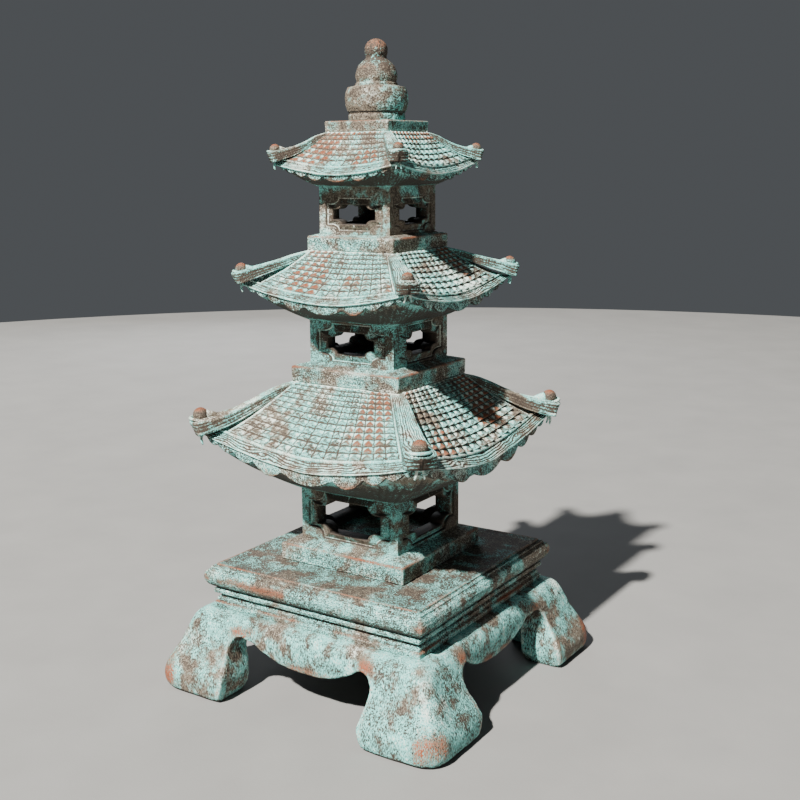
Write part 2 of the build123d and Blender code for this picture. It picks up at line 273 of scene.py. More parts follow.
# ---- materials
class Shader:
    """Adds shader nodes to a new material and links them."""

    def __init__(self, name):
        self.material = bpy.data.materials.new(f"{name}_look")
        self.material.use_nodes = True
        self.tree = self.material.node_tree
        self.surface = self.tree.nodes["Principled BSDF"]

    def add(self, kind, inputs=(), **settings):
        """A node with its settings, and with each input linked to a socket or set to a value."""
        node = self.tree.nodes.new(kind)
        for key, value in settings.items():
            setattr(node, key, value)
        for key, value in dict(inputs).items():
            self.feed(node.inputs[key], value)
        return node

    def feed(self, target, value):
        """Links an input to a socket, or sets it to a value."""
        if isinstance(value, bpy.types.NodeSocket):
            self.tree.links.new(value, target)
        else:
            target.default_value = value

    def math(self, operation, first, second=0.0):
        return self.add("ShaderNodeMath", {0: first, 1: second}, operation=operation).outputs[0]

    def total(self, *terms):
        """The sum of (socket, weight) terms."""
        result = 0.0
        for socket, weight in terms:
            inputs = {0: socket, 1: weight, 2: result}
            result = self.add("ShaderNodeMath", inputs, operation="MULTIPLY_ADD").outputs[0]
        return result

    def step(self, value, start, end, top=1.0):
        """0 before start and top after end."""
        inputs = {"Value": value, "From Min": start, "From Max": end, "To Min": 0.0, "To Max": top}
        return self.add("ShaderNodeMapRange", inputs, interpolation_type="SMOOTHSTEP").outputs["Result"]

    def blend(self, share, first, second):
        """A colour between two, each a socket or a colour."""
        node = self.add("ShaderNodeMix", {0: share}, data_type="RGBA")
        colour_inputs, colour_output = node.inputs[6:8], node.outputs[2]
        for target, value in zip(colour_inputs, (first, second)):
            self.feed(target, value)
        return colour_output

    def place(self, stretch=(1, 1, 1)):
        """The point on the piece, in metres, stretched along its axes."""
        point = self.add("ShaderNodeTexCoord").outputs["Object"]
        return self.add("ShaderNodeMapping", {"Vector": point, "Scale": stretch}).outputs["Vector"]

    def noise(self, place, scale, detail=3.0, roughness=0.55):
        inputs = {"Vector": place, "Scale": scale, "Detail": detail, "Roughness": roughness}
        return self.add("ShaderNodeTexNoise", inputs).outputs["Fac"]

    def pebbles(self, place, scale):
        """Distance from the middle of the nearest rounded grain."""
        inputs = {"Vector": place, "Scale": scale}
        return self.add("ShaderNodeTexVoronoi", inputs, feature="SMOOTH_F1").outputs["Distance"]

    def stored(self, name):
        return self.add("ShaderNodeAttribute", attribute_name=name).outputs["Fac"]

    def end(self, colour, roughness, height, bump):
        """Feeds the surface and gives it fine relief, bump metres deep."""
        normal = self.add("ShaderNodeBump", {"Height": height, "Strength": 1.0, "Distance": bump})
        self.feed(self.surface.inputs["Base Color"], colour)
        self.feed(self.surface.inputs["Roughness"], roughness)
        self.feed(self.surface.inputs["Normal"], normal.outputs[0])
        return self.material


INK = (0.016, 0.014, 0.012, 1)
UMBER = (0.062, 0.044, 0.031, 1)
DRAB = (0.180, 0.150, 0.110, 1)
TEAL = (0.080, 0.185, 0.165, 1)
VERDIGRIS = (0.200, 0.600, 0.560, 1)
CREAM = (0.800, 0.860, 0.760, 1)
BLUSH = (0.230, 0.110, 0.060, 1)
COPPER = (0.250, 0.050, 0.010, 1)


def patina(slot, wash, cream, copper, fleck=2.8, strokes=1.0, speckle=1.0, hollow=1.0, sooty=0.0):
    """Crackled cast stone: drab, verdigris, cream and copper brushed over a dark stain, with painted shade on
    the undersides.

    wash, cream and copper are how much of each colour shows, fleck is the size of a fleck in
    millimetres, strokes is how far the flecks stretch upright, speckle how strong they are,
    hollow how much darker the hollows are, and sooty how dark the whole is.
    """
    s = Shader(slot)
    place = s.place()
    brushed = s.place((1, 1, 1 / strokes))
    relief = s.stored("relief")
    underside_shade = s.stored("underside_shade")
    clouds = s.noise(place, 5.2)
    drifts = s.noise(s.place((1.3, 1.3, 0.9)), 7.5)
    patches = s.noise(place, 19.0, 4.0, 0.6)
    spots = s.noise(brushed, 70.0, 3.0, 0.6)
    grit = s.noise(brushed, 1000 / fleck, 1.0, 0.6)
    vein = s.math("ABSOLUTE", s.total((s.noise(brushed, 480 / fleck, 1.0, 0.5), 1.0), (1.0, -0.5)))
    # The paint lies on the high flecks and misses the cracks and hollows
    flecks = s.total((grit, 2.6 * speckle), (vein, 3.6 * speckle), (1.0, -1.58 * speckle))
    flecks = s.math("MULTIPLY", flecks, s.stored("flecked"))
    held = s.total((flecks, 1.0), (relief, 0.42 * hollow), (patches, 1.7), (spots, 0.5))
    # Painted shade: the paint thins on downward-facing surfaces, so the dark stain shows there
    held = s.total((underside_shade, -0.75), (held, 1.0), (1.0, -1.03 - sooty))
    # Verdigris in clouds over the drab stone, with cream drifts
    green = s.total((clouds, 1.2), (patches, 0.8), (spots, 0.3))
    green = s.step(green, 1.22 - 0.36 * wash, 1.44 - 0.36 * wash)
    tint = s.blend(s.step(held, -0.15, 0.35), TEAL, VERDIGRIS)
    paint = s.blend(green, DRAB, tint)
    # Painted shade: less cream on downward-facing surfaces
    pale = s.total((drifts, 1.0), (spots, 0.5), (relief, 0.2), (grit, 0.5), (underside_shade, -0.6))
    paint = s.blend(s.step(pale, 1.24 - 0.36 * cream, 1.50 - 0.36 * cream, 0.75), paint, CREAM)
    stain = s.blend(s.step(flecks, -0.6, 0.05), INK, UMBER)
    # Painted shade: the stain turns to ink on downward-facing surfaces
    stain = s.blend(s.math("MULTIPLY", underside_shade, 0.7), stain, INK)
    colour = s.blend(s.step(held, -0.36, 0.2), stain, paint)
    # The highest flecks are dry and pale
    colour = s.blend(s.step(held, 0.36, 0.90, 0.6), colour, CREAM)
    # Copper where it is rubbed, with a blush round it, in all but the cracks
    rubbed = s.total((s.stored("wear"), 1.0), (drifts, -0.3), (patches, 0.7), (spots, 0.7), (grit, 1.1))
    blush = s.step(rubbed, 1.50 - 0.4 * copper, 1.95 - 0.4 * copper, 0.9)
    rust = s.step(rubbed, 1.76 - 0.4 * copper, 2.25 - 0.4 * copper, 0.9)
    open_stone = s.step(flecks, -0.6, 0.15)
    colour = s.blend(s.math("MULTIPLY", blush, open_stone), colour, BLUSH)
    colour = s.blend(s.math("MULTIPLY", rust, open_stone), colour, COPPER)
    roughness = s.math("ADD", s.step(rust, 1.0, 0.0, 0.25), 0.55)
    return s.end(colour, roughness, flecks, 0.0014)


def galvanised(slot):
    """Dull zinc on the hidden pins, with a soft spangle."""
    s = Shader(slot)
    spangle = s.pebbles(s.place(), 180.0)
    colour = s.blend(spangle, (0.42, 0.43, 0.44, 1), (0.62, 0.63, 0.62, 1))
    s.surface.inputs["Metallic"].default_value = 1.0
    return s.end(colour, s.step(spangle, 0.0, 1.0, 0.5), s.noise(s.place(), 900.0), 0.0002)


STONES = {
    "base_stone": {"wash": 0.65, "cream": 0.3, "copper": 0.6, "fleck": 3.2, "strokes": 2.4, "speckle": 0.7},
    "plinth_stone": {"wash": 0.55, "cream": 0.3, "copper": 0.6, "fleck": 3.4, "speckle": 0.95, "sooty": 0.06},
    "box_stone": {"wash": 0.42, "cream": 0.3, "copper": 0.4, "fleck": 3.2, "speckle": 0.9, "sooty": 0.04},
    "roof_stone": {"wash": 0.75, "cream": 0.6, "copper": 0.45, "fleck": 3.4, "hollow": 1.5, "sooty": -0.06},
    "ball_stone": {"wash": 0.1, "cream": 0.0, "copper": 0.4, "speckle": 0.7, "sooty": 0.25},
    "finial_stone": {"wash": 0.3, "cream": 0.35, "copper": 0.4, "fleck": 4.0, "speckle": 0.65, "sooty": 0.1},
}
MATERIALS = {slot: patina(slot, **look) for slot, look in STONES.items()}
MATERIALS["pin_steel"] = galvanised("pin_steel")


# ---- roofs
LARGEST_FASCIA = 385


@dataclass(frozen=True)
class Roof:
    """One hipped roof, with the design dimensions of its CAD solid and its rows and columns of tiles."""

    tier: str
    stone_above: str
    columns: int
    rows: int
    top_half: float
    tile_half: float
    tile_z: float
    fascia_half: float
    fascia_z: float
    lift: float
    lift_power: float
    valance_drop: float
    soffit_drop: float
    bearing_half: float
    plug_half: float
    plug: float
    ridge: tuple
    ball: tuple

    @property
    def size(self):
        """Size beside the lower roof."""
        return self.fascia_half / LARGEST_FASCIA

    @property
    def top_z(self):
        return low(self.stone_above)[2]

    @property
    def bearing_z(self):
        return high(f"{self.tier}_lantern_box")[2]


ROOFS = (
    Roof(
        tier="lower",
        stone_above="middle_lantern_box",
        columns=14,
        rows=12,
        top_half=190,
        tile_half=350,
        tile_z=761,
        fascia_half=385,
        fascia_z=729,
        lift=66,
        lift_power=1.6,
        valance_drop=46,
        soffit_drop=22,
        bearing_half=178,
        plug_half=130,
        plug=14,
        ridge=(
            (184, 938, 40, 24),
            (217, 926, 44, 26),
            (249, 907, 50, 30),
            (287, 880, 58, 33),
            (324, 858, 68, 36),
            (358, 846, 80, 40),
            (388, 838, 88, 42),
            (409, 833, 60, 38),
        ),
        ball=(385, 851, 23),
    ),
    Roof(
        tier="middle",
        stone_above="upper_lantern_box",
        columns=12,
        rows=9,
        top_half=150,
        tile_half=266,
        tile_z=1212,
        fascia_half=290,
        fascia_z=1193,
        lift=45,
        lift_power=1.77,
        valance_drop=33,
        soffit_drop=15,
        bearing_half=151,
        plug_half=110,
        plug=11,
        ridge=(
            (144, 1330, 30, 18),
            (180, 1318, 36, 21),
            (209, 1305, 42, 24),
            (242, 1292, 50, 28),
            (271, 1282, 60, 32),
            (293, 1274, 66, 34),
            (310, 1269, 46, 29),
        ),
        ball=(289, 1281, 17.5),
    ),
    Roof(
        tier="upper",
        stone_above="cap_slab",
        columns=11,
        rows=7,
        top_half=108,
        tile_half=199,
        tile_z=1571,
        fascia_half=215,
        fascia_z=1551,
        lift=30,
        lift_power=1.83,
        valance_drop=23,
        soffit_drop=12,
        bearing_half=125,
        plug_half=91,
        plug=9,
        ridge=(
            (104, 1668, 24, 16),
            (129, 1657, 29, 18),
            (148, 1643, 34, 20),
            (173, 1628, 42, 24),
            (199, 1619, 50, 27),
            (214, 1616, 54, 30),
            (228, 1612, 40, 28),
        ),
        ball=(212, 1621, 15.5),
    ),
)
TILE_STEPS = 9
DOWN_A_TILE = (0.02, 0.16, 0.34, 0.52, 0.7, 0.84, 0.93, 0.985)
SLOPE_SAG = 5
LIFT_REACH = 0.55
SOFFIT_BULGE = 0.72
FIELD_EDGE = 0.85
HIP_BEAD = 0.012
HIP_BEAD_RISE = 6.5
EAVE_BEAD_SHARE = 0.26
EAVE_BEAD_RISE = 7.5
TILE_HEIGHT = 15.0
FASCIA_GROOVES = 4.6
FASCIA_GROOVE = 3.6
RAFTER_GROOVE = 3.2
TOP_ROW_SHARE = 0.62
VALANCE_SETBACK = 8
VALANCE_THICK = 17
VALANCE_ROOT = 4
VALANCE_END_GAP = 6
LOBE_SHARES = (0.06, 0.076, 0.101, 0.141, 0.244, 0.141, 0.101, 0.076, 0.06)


def lifted(roof, along, out):
    """Rise above the middle of a side, at a distance along the side and out from the axis."""
    share = np.clip((out - roof.top_half) / (roof.fascia_half - roof.top_half), 0, 1)
    return roof.lift * (np.abs(along) / roof.fascia_half) ** roof.lift_power * share**LIFT_REACH


def eave_z(roof, along):
    """Height of the fascia's lower edge."""
    return roof.fascia_z + lifted(roof, along, roof.fascia_half)


def wood_grain(along, across, seed, knots=()):
    """Carved grain between -1 and 0: long wavy grooves that bend round knots. across counts the grooves."""
    spot = np.stack([along / 60, across * 0.35, np.full_like(along, seed)], -1)
    phase = across + 0.75 * value_noise(spot) + 0.25 * value_noise(spot * 3.1, 4.0)
    for knot_along, knot_across, length, height in knots:
        near = ((along - knot_along) / length) ** 2 + ((across - knot_across) / height) ** 2
        phase = phase + (2.2 * np.sqrt(near + 0.02) - (across - knot_across)) * np.exp(-near * 0.9)
    return np.abs(np.sin(math.pi * phase)) ** 0.7 - 1


def tile_relief(roof, t, share):
    """Height of the tiles over the slope, at a place across the side and a share of the way down it."""
    column = (t / FIELD_EDGE + 1) / 2 * roof.columns
    pitch = TOP_ROW_SHARE
    row = roof.rows * (-pitch + np.sqrt(pitch**2 + 4 * (1 - pitch) * share)) / (2 * (1 - pitch))
    row = np.minimum(row, roof.rows - 1e-6)
    down = row - np.floor(row)
    spot = np.stack([np.floor(column), np.floor(row), np.full_like(t, roof.rows)], -1)
    odd = value_noise(spot * 1.37, 3.0)
    barrel = np.abs(np.sin(math.pi * column)) ** 0.9
    height = barrel * (0.04 + 0.96 * down**0.85)
    size = TILE_HEIGHT * roof.size**0.7 * (0.72 + 0.28 * share) * (1 + 0.16 * odd)
    inside = fade(FIELD_EDGE - np.abs(t), 0, 0.012)
    bead = np.sqrt(np.clip(1 - ((np.abs(t) - FIELD_EDGE - HIP_BEAD) / HIP_BEAD) ** 2, 0, 1))
    return size * height * inside + HIP_BEAD_RISE * roof.size**0.7 * bead


def slope_line(roof, t, share):
    """(out, z) of the slope at a share of the way down."""
    out = roof.top_half + share * (roof.tile_half - roof.top_half)
    straight = roof.top_z + share * (roof.tile_z - roof.top_z)
    return out, straight - SLOPE_SAG * np.sin(math.pi * share) + lifted(roof, t * out, out)


def roof_shell(roof):
    """The roof's body as rings round the axis, from the top plateau down over the tiles to the plug.

    With the shell come two numbers for each point: its tone, with painted shade under each tile's lip and
    along the valleys between tiles, and 1 on the rubbed crest of a tile.
    """
    field = np.linspace(-FIELD_EDGE, FIELD_EDGE, roof.columns * TILE_STEPS + 1)
    hip = np.linspace(FIELD_EDGE, 1, 11)[1:]
    t = np.concatenate([-hip[::-1], field, hip[:-1]])
    ring = np.ones_like(t)
    rows = [(share * roof.top_half * ring, roof.top_z * ring) for share in (0.15, 0.97)]
    tones = [0 * t, 0 * t]
    fins = [0 * t, 0 * t]
    tiled = np.abs(t) < FIELD_EDGE
    valley = np.abs(2 * ((t / FIELD_EDGE + 1) / 2 * roof.columns % 1) - 1)
    # Tiles: each row rises to its lip, then drops to the next row
    pitch = TOP_ROW_SHARE
    fall = math.atan2(roof.top_z - roof.tile_z, roof.tile_half - roof.top_half)
    for row in range(roof.rows):
        for down in DOWN_A_TILE:
            u = (row + down) / roof.rows
            share = ring * u * (pitch + (1 - pitch) * u)
            out, z = slope_line(roof, t, share)
            rise = tile_relief(roof, t, share)
            rows.append((out + rise * math.sin(fall), z + rise * math.cos(fall)))
            fin = tiled * fade(0.78 * np.clip((down - 0.15) / 0.6, 0, 1) - valley, -0.2, 0.2)
            # Painted shade: each tile darkens just under the lip of the row above and along the valleys
            # beside it
            painted_gap_shade = 1.9 * fade(down, 0.2, 0.02) + 0.9 * fade(valley, 0.84, 1.0)
            fins.append(fin)
            tones.append(tiled * (0.85 - painted_gap_shade) - 1.55 * fin)
    # The bead along the eave and the grained fascia under it
    border_out, border_z = slope_line(roof, t, ring)
    edge = eave_z(roof, t * roof.fascia_half)
    bead = EAVE_BEAD_SHARE
    knots = ((-0.42 * roof.fascia_half, 2.3, 26, 1.3), (0.5 * roof.fascia_half, 1.9, 20, 1.1))
    for share in np.concatenate([np.linspace(0, bead, 9), np.linspace(bead + 0.02, 0.97, 26)]):
        out = border_out + share * (roof.fascia_half - border_out)
        z = border_z + share * (edge - border_z)
        shade = 0.15 * ring
        if share <= bead:
            rise = EAVE_BEAD_RISE * roof.size**0.7 * math.sqrt(max(0, 1 - (2 * share / bead - 1) ** 2))
        else:
            down = (share - bead) / (1 - bead)
            grain = wood_grain(t * out, down * FASCIA_GROOVES * ring, roof.rows, knots)
            shallow = fade(down, 0, 0.08) * fade(down, 1, 0.9)
            rise = FASCIA_GROOVE * roof.size**0.5 * (grain + 0.3) * shallow
            shade = 1.9 * grain + 0.1
        rows.append((out + 0.7 * rise, z + 0.7 * rise))
        tones.append(shade)
    rows += [((roof.fascia_half - back) * ring, edge - drop) for back, drop in ((0, 0), (1, 3), (4, 5))]
    # The underside, with carved rafters that spread towards the corners
    under = roof.fascia_half - VALANCE_SETBACK - VALANCE_THICK
    rows.append((under * ring, edge - 3))
    rafters = fade(np.abs(t), 0.35, 0.7) * np.abs(np.sin(38 * t)) ** 0.6
    for share in np.linspace(0, 1, 17):
        out = under + share * (roof.bearing_half - under)
        soffit = edge - roof.soffit_drop
        z = soffit + (roof.bearing_z - soffit) * share**SOFFIT_BULGE
        groove = RAFTER_GROOVE * roof.size * rafters * math.sin(math.pi * share) ** 0.5
        rows.append((out * ring, z - groove))
    rows.append((roof.plug_half * ring, roof.bearing_z * ring))
    rows.append((roof.plug_half * ring, (roof.bearing_z - roof.plug) * ring))
    rows.append((0.15 * roof.plug_half * ring, (roof.bearing_z - roof.plug) * ring))
    side = np.array([np.stack([t * out, -out, z], -1) for out, z in rows])
    side[..., 2] += 1.2 * value_noise(side / 55, roof.rows) * (np.abs(t) < 0.999)
    grid = np.concatenate([turned(side, quarter) for quarter in range(4)], axis=1)
    for values in (tones, fins):
        values += [0 * t] * (len(rows) - len(values))
    return ring_shell(grid), np.tile(tones, 4).ravel(), np.tile(fins, 4).ravel()


def valance_shell(roof):
    """One scalloped plate under an eave, as rounded sections along its length."""
    reach = roof.fascia_half - VALANCE_SETBACK - VALANCE_END_GAP
    cusps = reach - 2 * reach * np.cumsum((0, *LOBE_SHARES))
    depth = roof.valance_drop * (0.22 + 0.26 * (1 - (cusps / reach) ** 2))
    cusp_z = eave_z(roof, cusps) - depth
    rows = []
    front = roof.fascia_half - VALANCE_SETBACK
    back = front - VALANCE_THICK - VALANCE_ROOT
    for lobe in range(len(LOBE_SHARES)):
        width = cusps[lobe] - cusps[lobe + 1]
        sag = min(0.25 * width, 0.6 * roof.valance_drop)
        for share in np.linspace(0, 1, 16):
            along = cusps[lobe] - share * width
            foot = cusp_z[lobe] * (1 - share) + cusp_z[lobe + 1] * share
            foot -= sag * (1 - (2 * share - 1) ** 2)
            head = eave_z(roof, along) + 4
            bulge = 1.5 * roof.size * math.sin(math.pi * share)
            section = [(front, head), (front + 0.6 * bulge, 0.7 * head + 0.3 * foot)]
            section.append((front + bulge, 0.35 * head + 0.65 * foot))
            for angle in np.linspace(0, math.pi / 2, 5):
                section.append((front + bulge - 4 + 4 * math.cos(angle), foot + 4 - 4 * math.sin(angle)))
            section += [(back, foot + 1), (back, head)]
            rows.append([(along, -out, z) for out, z in section])
    return np.array(rows)


def ridge_section():
    """Unit points round a plank: run and corner shares across it, then the same for its height."""
    side = np.linspace(-1, 0, 10)
    bend = np.linspace(0, math.pi / 2, 5)[1:-1]
    top = np.linspace(1, -1, 71)
    under = np.linspace(-1, 1, 9)[1:-1]
    ones, zeros = np.ones, np.zeros
    run = np.concatenate([ones(10), ones(3), top, -ones(3), -ones(10), under])
    turn = np.concatenate([ones(10), np.cos(bend), zeros(71), -np.cos(bend[::-1]), -ones(10), zeros(7)])
    drop = np.concatenate([side, zeros(3 + 71 + 3), side[::-1], -ones(7)])
    rise = np.concatenate([zeros(10), np.sin(bend), ones(71), np.sin(bend[::-1]), zeros(17)])
    return run, turn, drop, rise


def ridge_shell(roof):
    """One grained hip ridge on the corner at +X -Y, from the stone above it to its rounded nose."""
    nose_start = 0.87
    nose_shares = nose_start + (1 - nose_start) * np.sin(np.linspace(0.08, math.pi / 2, 22))
    shares = np.concatenate([np.linspace(0, nose_start, 100), nose_shares])
    stations = np.array(roof.ridge, float)
    stations[-1, 2] = 0.96 * stations[-2, 2]
    line = through(stations, shares)
    run, turn, drop, rise = ridge_section()
    edge = 3.0 * roof.size**0.7
    groove = 3.4 * roof.size**0.6
    ball_share = 0.9
    rows, shades = [], []
    for share, (half, back_z, width, depth) in zip(shares, line):
        nose = np.clip((share - nose_start) / (1 - nose_start), 0, 1)
        width = width * math.sqrt(max(0.02, 1 - 0.96 * nose**2))
        along = np.full_like(run, share * 480 * roof.size)
        wrap = np.sign(run) * 1.6 * close(share, ball_share, 0.07) * close(run, 0, 0.55)
        lane = 4.0 * run + wrap + 1.2 * math.sin(4.0 * share + roof.rows)
        on_top = (rise > 0.99) * fade(1 - np.abs(run), 0, 0.06)
        carved = groove * wood_grain(along, lane + 5, roof.rows + 9.0) * on_top
        layer = drop * 3.5 + 0.3 * math.sin(9 * share)
        layered = groove * (np.abs(np.sin(math.pi * layer)) ** 0.7 - 1) * (drop < 0) * (drop > -1)
        crown = 0.07 * width * (1 - run**2) * (rise > 0.99) * (1 - nose)
        lateral = run * (width / 2 - edge) + turn * (edge + 0.8 * layered)
        lateral = lateral * (1 + 0.3 * nose * drop)
        place = half + 11 * roof.size * nose * drop + 0.9 * layered * nose**2 * np.abs(turn)
        height = back_z + drop * (depth - edge) - edge + rise * edge + crown + carved
        # Painted shade: the sides, underside and nose sit a fixed step darker than the top; the grain and
        # layer grooves are darker too
        shades.append(np.where(on_top > 0, 1.5 * carved / groove + 0.3, 1.2 * layered / groove - 0.35))
        rows.append(np.stack([place + lateral / math.sqrt(2), -place + lateral / math.sqrt(2), height], -1))
    return np.array(rows), np.array(shades).ravel()


def tube_shell(line, radii, steps=16):
    """A round bar along a line of points, with its own radius at each."""
    line = np.asarray(line, float)
    ahead = np.gradient(line, axis=0)
    ahead /= np.linalg.norm(ahead, axis=1)[:, None]
    side = np.cross(ahead, (0.31, 0.17, 0.94))
    side /= np.linalg.norm(side, axis=1)[:, None]
    lift = np.cross(side, ahead)
    angle = circle_angles(steps)[None, :, None]
    radii = np.asarray(radii, float)[:, None, None]
    grid = line[:, None] + radii * (np.cos(angle) * side[:, None] + np.sin(angle) * lift[:, None])
    return ring_shell(grid)


def nose_details(roof):
    """The lip in front of a ball, the saddle behind it and two straps, on the corner at +X -Y."""
    half, ball_z, radius = roof.ball
    sweep = np.radians(np.linspace(-112, 112, 40))
    angle = sweep - math.pi / 4
    reach = radius * (1.22 + 0.1 * np.cos(sweep))
    lip_z = ball_z - radius * (0.5 - 0.14 * np.cos(sweep))
    lip = np.stack([half + reach * np.cos(angle), -half + reach * np.sin(angle), lip_z], -1)
    thick = radius * (0.06 + 0.17 * np.sqrt(np.clip(np.cos(0.72 * sweep), 0, 1)))
    shells = [tube_shell(lip, thick)]
    # The saddle tapers back along the ridge
    back = np.array(((-0.25, -0.1, 0.72), (-0.9, -0.2, 0.62), (-1.7, -0.42, 0.42), (-2.6, -0.62, 0.1)))
    line = through(back, np.linspace(0, 1, 18))
    place = half + line[:, 0] * radius / math.sqrt(2)
    saddle = np.stack([place, -place, ball_z + line[:, 1] * radius], -1)
    slope = (roof.ridge[-4][1] - roof.ridge[-2][1]) / (roof.ridge[-2][0] - roof.ridge[-4][0])
    saddle[:, 2] += (half - place) * slope
    shells.append(tube_shell(saddle, radius * line[:, 2], 24))
    # Two short straps hang below the nose
    corner_z = eave_z(roof, roof.fascia_half)
    for sideways in (-1, 1):
        strap = []
        for share in np.linspace(0, 1, 12):
            out = roof.fascia_half - 2 + 3 * roof.size * math.sin(math.pi * share)
            apart = sideways * roof.size * (5 + 5 * share)
            strap.append((out + apart, -out + apart, corner_z + 2 - roof.size * 34 * share))
        shells.append(tube_shell(strap, roof.size * np.linspace(5.5, 2.5, 12), 12))
    return shells


def roof_worn(roof, fins=0.0):
    """Copper shows on the crests of the tiles in patches, and on the noses and the lobe rims."""

    def worn(points):
        near, out = near_and_out(points)
        patch = 0.8 * fade(layered_noise(points / (150 * roof.size), roof.rows + 3.0, 2), 0.1, 0.5)
        nose = fade(near, 0.98 * roof.fascia_half, 1.06 * roof.fascia_half)
        rim = fade(eave_z(roof, near) - points[:, 2], 0.4 * roof.valance_drop, 0.85 * roof.valance_drop)
        rim = rim * fade(out, roof.fascia_half - 14, roof.fascia_half - 9)
        rim = rim * fade(layered_noise(points / 150, 5.0, 2), -0.25, 0.2)
        return (0.15 + 0.85 * patch) * fins + 0.3 * nose + 0.6 * rim

    return worn


def build_roof(roof):
    body = f"{roof.tier}_canopy"
    node = f"{roof.tier}_roof"
    slot = "roof_stone"
    worn = roof_worn(roof)
    deep = 2.2 * roof.size**0.7
    shell, tone, fins = roof_shell(roof)
    make_piece(f"{node}_tiles", [shell], slot, body, [node], deep, roof_worn(roof, fins), tone, 0.55)
    plate = valance_shell(roof)
    plates = [ring_shell(turned(plate, quarter)) for quarter in range(4)]
    make_piece(f"{node}_valances", plates, slot, body, [node], 14.0, worn, -0.25)
    ridge, shade = ridge_shell(roof)
    ridges = [ring_shell(turned(ridge, quarter)) for quarter in range(4)]
    tone = [shade] * 4
    for points, faces in nose_details(roof):
        ridges += [(turned(points, quarter), faces) for quarter in range(4)]
        tone.append(np.full(4 * len(points), -0.1))
    make_piece(f"{node}_ridges", ridges, slot, body, [node], 2.0, worn, np.concatenate(tone), 0.55)
    # The balls, bedded flat
    ball_node = f"{roof.tier}_corner_balls"
    half, ball_z, radius = roof.ball
    start = math.asin((low(ball_node)[2] - ball_z) / radius)
    angles = np.linspace(start, math.pi / 2 - 0.03, 36)
    profile = [(radius * math.cos(a), ball_z + radius * math.sin(a)) for a in angles]
    balls = [turned_shell(profile, 56, (x * half, y * half)) for x in (-1, 1) for y in (-1, 1)]

    def ball_worn(points):
        return 0.8 * fade(points[:, 2], ball_z, ball_z + radius)

    make_piece(f"{roof.tier}_balls", balls, "ball_stone", body, [ball_node], 2.0, ball_worn)


# ---- lantern boxes
@dataclass(frozen=True)
class LanternBox:
    """One windowed box on its step, with the design dimensions of its CAD solid."""

    tier: str
    step_half: float
    step_edge: float
    wall_foot: float
    wall_half: float
    wall: float
    recess: float
    window: float
    panel: tuple
    panel_notch: tuple
    opening: tuple
    opening_notch: tuple


# Heights are above the box's own bed
LANTERN_BOXES = (
    LanternBox("lower", 224, 52, 68, 176, 42, 9, 149, (294, 146), (52, 31), (232, 104), (46, 24)),
    LanternBox("middle", 192, 47.5, 60.5, 149.5, 36, 8, 123, (240, 113), (50, 22), (164, 66), (32, 18)),
    LanternBox("upper", 151.5, 41, 49, 123.5, 30, 6, 104.5, (196, 95), (40, 17), (148, 55), (31, 13)),
)
SHOULDER = 0.32


def rectangle_outline(size, steps, corner_steps):
    """A rectangle with as many points as a notched one, each corner being the middle of its steps."""
    return notched_outline(size, (0.001, 0.001), steps, corner_steps)


def notched_outline(size, notch, steps, corner_steps):
    """(x, z) round a rectangle whose corners step in, then curve in. It starts at the top middle."""
    half_x, half_z = size[0] / 2, size[1] / 2
    notch_x, notch_z = notch
    shoulder = SHOULDER * notch_x
    angles = np.linspace(0, math.pi / 2, corner_steps)
    curve_x = half_x - shoulder - (notch_x - shoulder) * np.cos(angles)
    curve = np.stack([curve_x, half_z - notch_z * np.sin(angles)], -1)
    flat = np.linspace(half_x - shoulder, half_x, 4)[1:]
    shelf = np.stack([flat, np.full(3, half_z - notch_z)], -1)
    top_x = np.linspace(0, half_x - notch_x, steps, endpoint=False)
    top = np.stack([top_x, np.full(steps, half_z)], -1)
    side_z = np.linspace(half_z - notch_z, 0, steps + 1)[1:]
    side = np.stack([np.full(steps, half_x), side_z], -1)
    quarter = np.vstack([top, curve, shelf, side])
    lower_right = quarter[::-1][1:] * (1, -1)
    lower_left = quarter[1:] * (-1, -1)
    upper_left = quarter[::-1][1:-1] * (-1, 1)
    return np.vstack([quarter, lower_right, lower_left, upper_left])


def grown(outline, amount):
    """An outline moved outwards, away from its middle, by about amount."""
    ahead = np.roll(outline, -1, 0) - outline
    back = outline - np.roll(outline, 1, 0)
    along = ahead / np.maximum(np.linalg.norm(ahead, axis=1), 1e-9)[:, None]
    along = along + back / np.maximum(np.linalg.norm(back, axis=1), 1e-9)[:, None]
    length = np.maximum(np.linalg.norm(along, axis=1), 1e-9)[:, None]
    return outline + amount * np.stack([-along[:, 1], along[:, 0]], -1) / length


